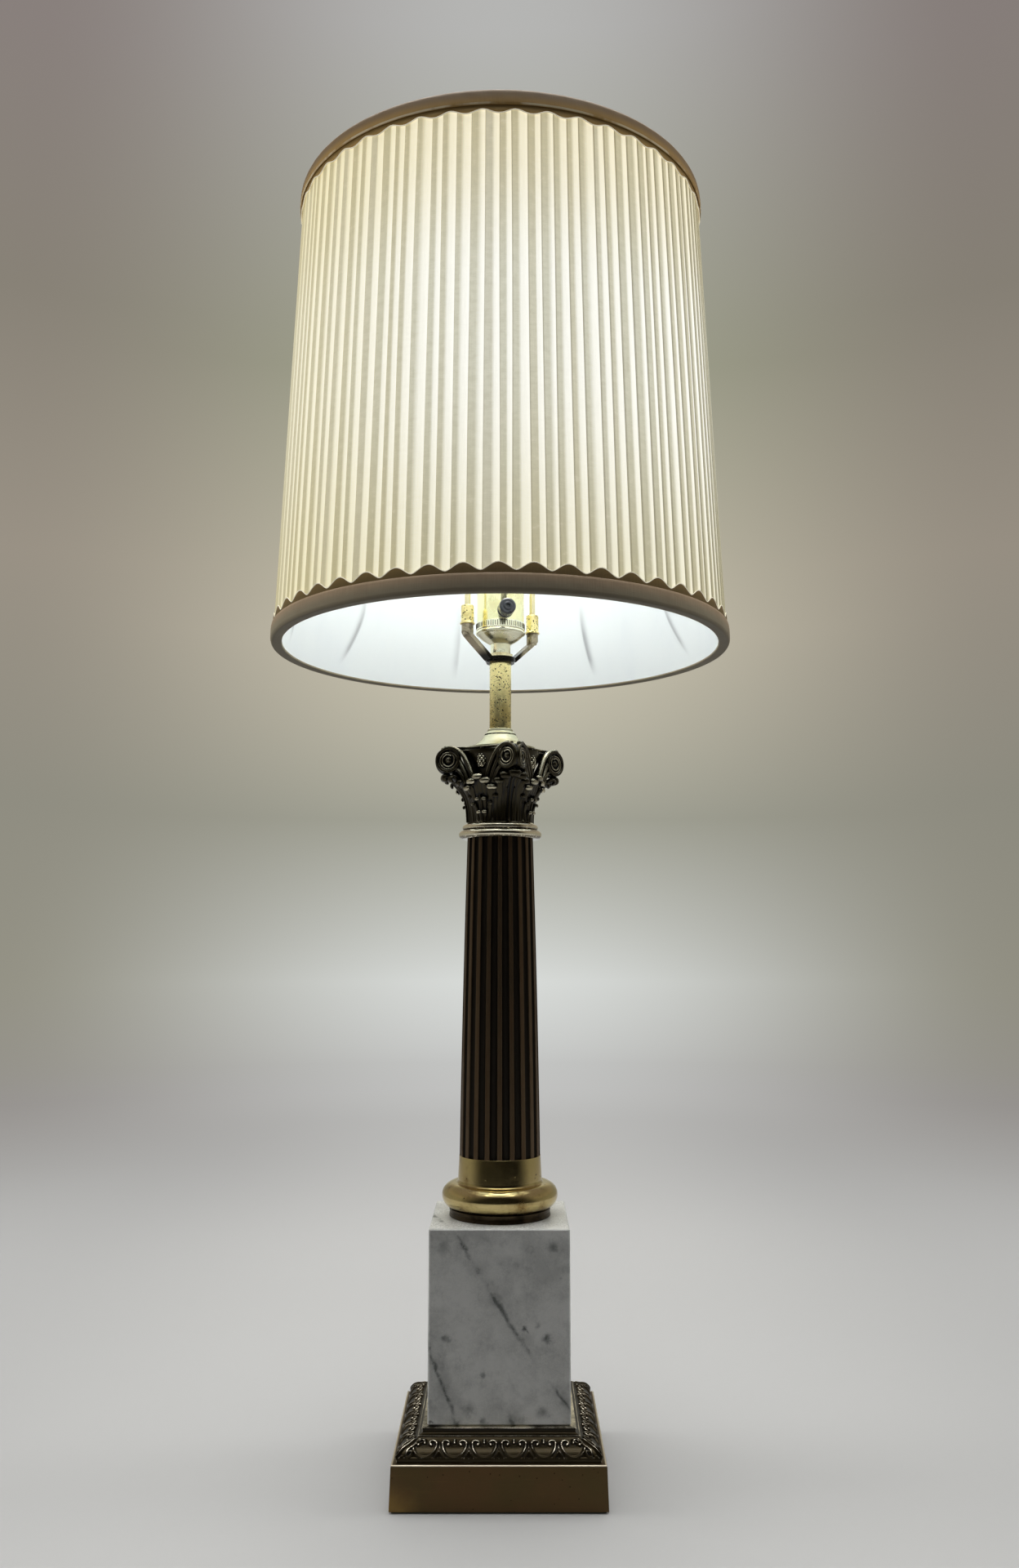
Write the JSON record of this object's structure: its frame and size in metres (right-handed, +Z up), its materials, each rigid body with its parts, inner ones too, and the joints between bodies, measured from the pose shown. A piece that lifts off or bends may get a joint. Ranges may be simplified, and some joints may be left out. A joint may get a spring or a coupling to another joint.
{
  "type": "column table lamp",
  "caption": "Table lamp with a fluted brass column and leafy capital on a marble block and square footed base, under a knife-pleated drum shade on a harp.",
  "frame": {"origin": "centre of the underside, on the surface that the lamp stands on", "axes": "+Z up along the column; -Y is the front seen in the picture; +X to the right, parallel to the base sides"},
  "size_m": [0.3394, 0.3394, 0.9368],
  "materials": {
    "antique_brass": "aged, dark in the recesses",
    "base_felt": "felt",
    "black_plastic": "gloss",
    "plated_steel": "plated",
    "marble": "honed, grey veins",
    "dark_bronze": "dark patina with worn highlights",
    "polished_brass": "polished, aged",
    "shaft_bronze": "dark patina, worn lands",
    "light_brass": "bright",
    "pitted_brass": "pitted",
    "saddle_metal": "dull",
    "socket_paper": "plain",
    "terminal_brass": "bright",
    "frosted_glass": "frosted",
    "cap_metal": "bright",
    "frame_wire": "white coated wire",
    "pleated_cloth": "knife-pleated, cream",
    "lining_cloth": "smooth, white",
    "trim_taupe": "satin band",
    "trim_gold": "olive-gold braid"
  },
  "bodies": {
    "lamp": {"base_casting": "antique_brass", "base_felt": "base_felt", "cord_bushing": "black_plastic", "pipe_washer": "plated_steel", "pipe_nut": "plated_steel", "threaded_pipe": "plated_steel", "marble_block": "marble", "column_foot": "dark_bronze", "column_base": "polished_brass", "column_shaft": "shaft_bronze", "neck_ring": "polished_brass", "capital": "dark_bronze", "capital_cover": "light_brass", "seat_ring": "light_brass", "riser_tube": "pitted_brass", "saddle_washer": "saddle_metal", "harp_saddle": "saddle_metal", "saddle_nut": "light_brass", "socket_cap": "light_brass", "cap_set_screw": "terminal_brass", "socket_shell": "light_brass", "socket_liner": "socket_paper", "socket_body": "black_plastic", "terminal_screws": "terminal_brass", "screw_shell": "terminal_brass", "centre_contact": "terminal_brass"},
    "switch": {"knob_stem": "plated_steel", "switch_knob": "black_plastic"},
    "bulb": {"bulb_tip": "cap_metal", "bulb_insulator": "black_plastic", "bulb_base": "cap_metal", "bulb_glass": "frosted_glass"},
    "harp": {"harp_wire": "light_brass"},
    "sleeve_left": {"harp_sleeve_left": "pitted_brass"},
    "sleeve_right": {"harp_sleeve_right": "pitted_brass"},
    "shade": {"harp_stud": "terminal_brass", "shade_spider": "frame_wire", "shade_bottom_ring": "frame_wire", "shade_ribs": "frame_wire", "shade_liner": "lining_cloth", "shade_cover": "pleated_cloth", "bottom_band": "trim_taupe", "top_band": "trim_taupe", "bottom_braid": "trim_gold", "top_braid": "trim_gold"},
    "finial": {"finial": "polished_brass"}
  },
  "joints": [
    {"name": "switch_turn", "type": "hinge", "parent": "lamp", "child": "switch", "pos_m": [0, 0, 0.605], "axis": [0.1564, -0.9877, 0], "continuous": true},
    {"name": "bulb_turn", "type": "hinge", "parent": "lamp", "child": "bulb", "pos_m": [0, 0, 0.64195], "axis": [0, 0, 1], "continuous": true},
    {"name": "harp_lift", "type": "slide", "parent": "lamp", "child": "harp", "axis": [0, 0, 1], "range_m": [0, 0.02]},
    {"name": "sleeve_left_slide", "type": "slide", "parent": "harp", "child": "sleeve_left", "axis": [0, 0, 1], "range_m": [0, 0.018]},
    {"name": "sleeve_right_slide", "type": "slide", "parent": "harp", "child": "sleeve_right", "axis": [0, 0, 1], "range_m": [0, 0.018]},
    {"name": "shade_turn", "type": "hinge", "parent": "harp", "child": "shade", "pos_m": [0, 0, 0.90565], "axis": [0, 0, 1], "continuous": true},
    {"name": "finial_turn", "type": "hinge", "parent": "shade", "child": "finial", "pos_m": [0, 0, 0.9078], "axis": [0, 0, 1], "continuous": true}
  ]
}
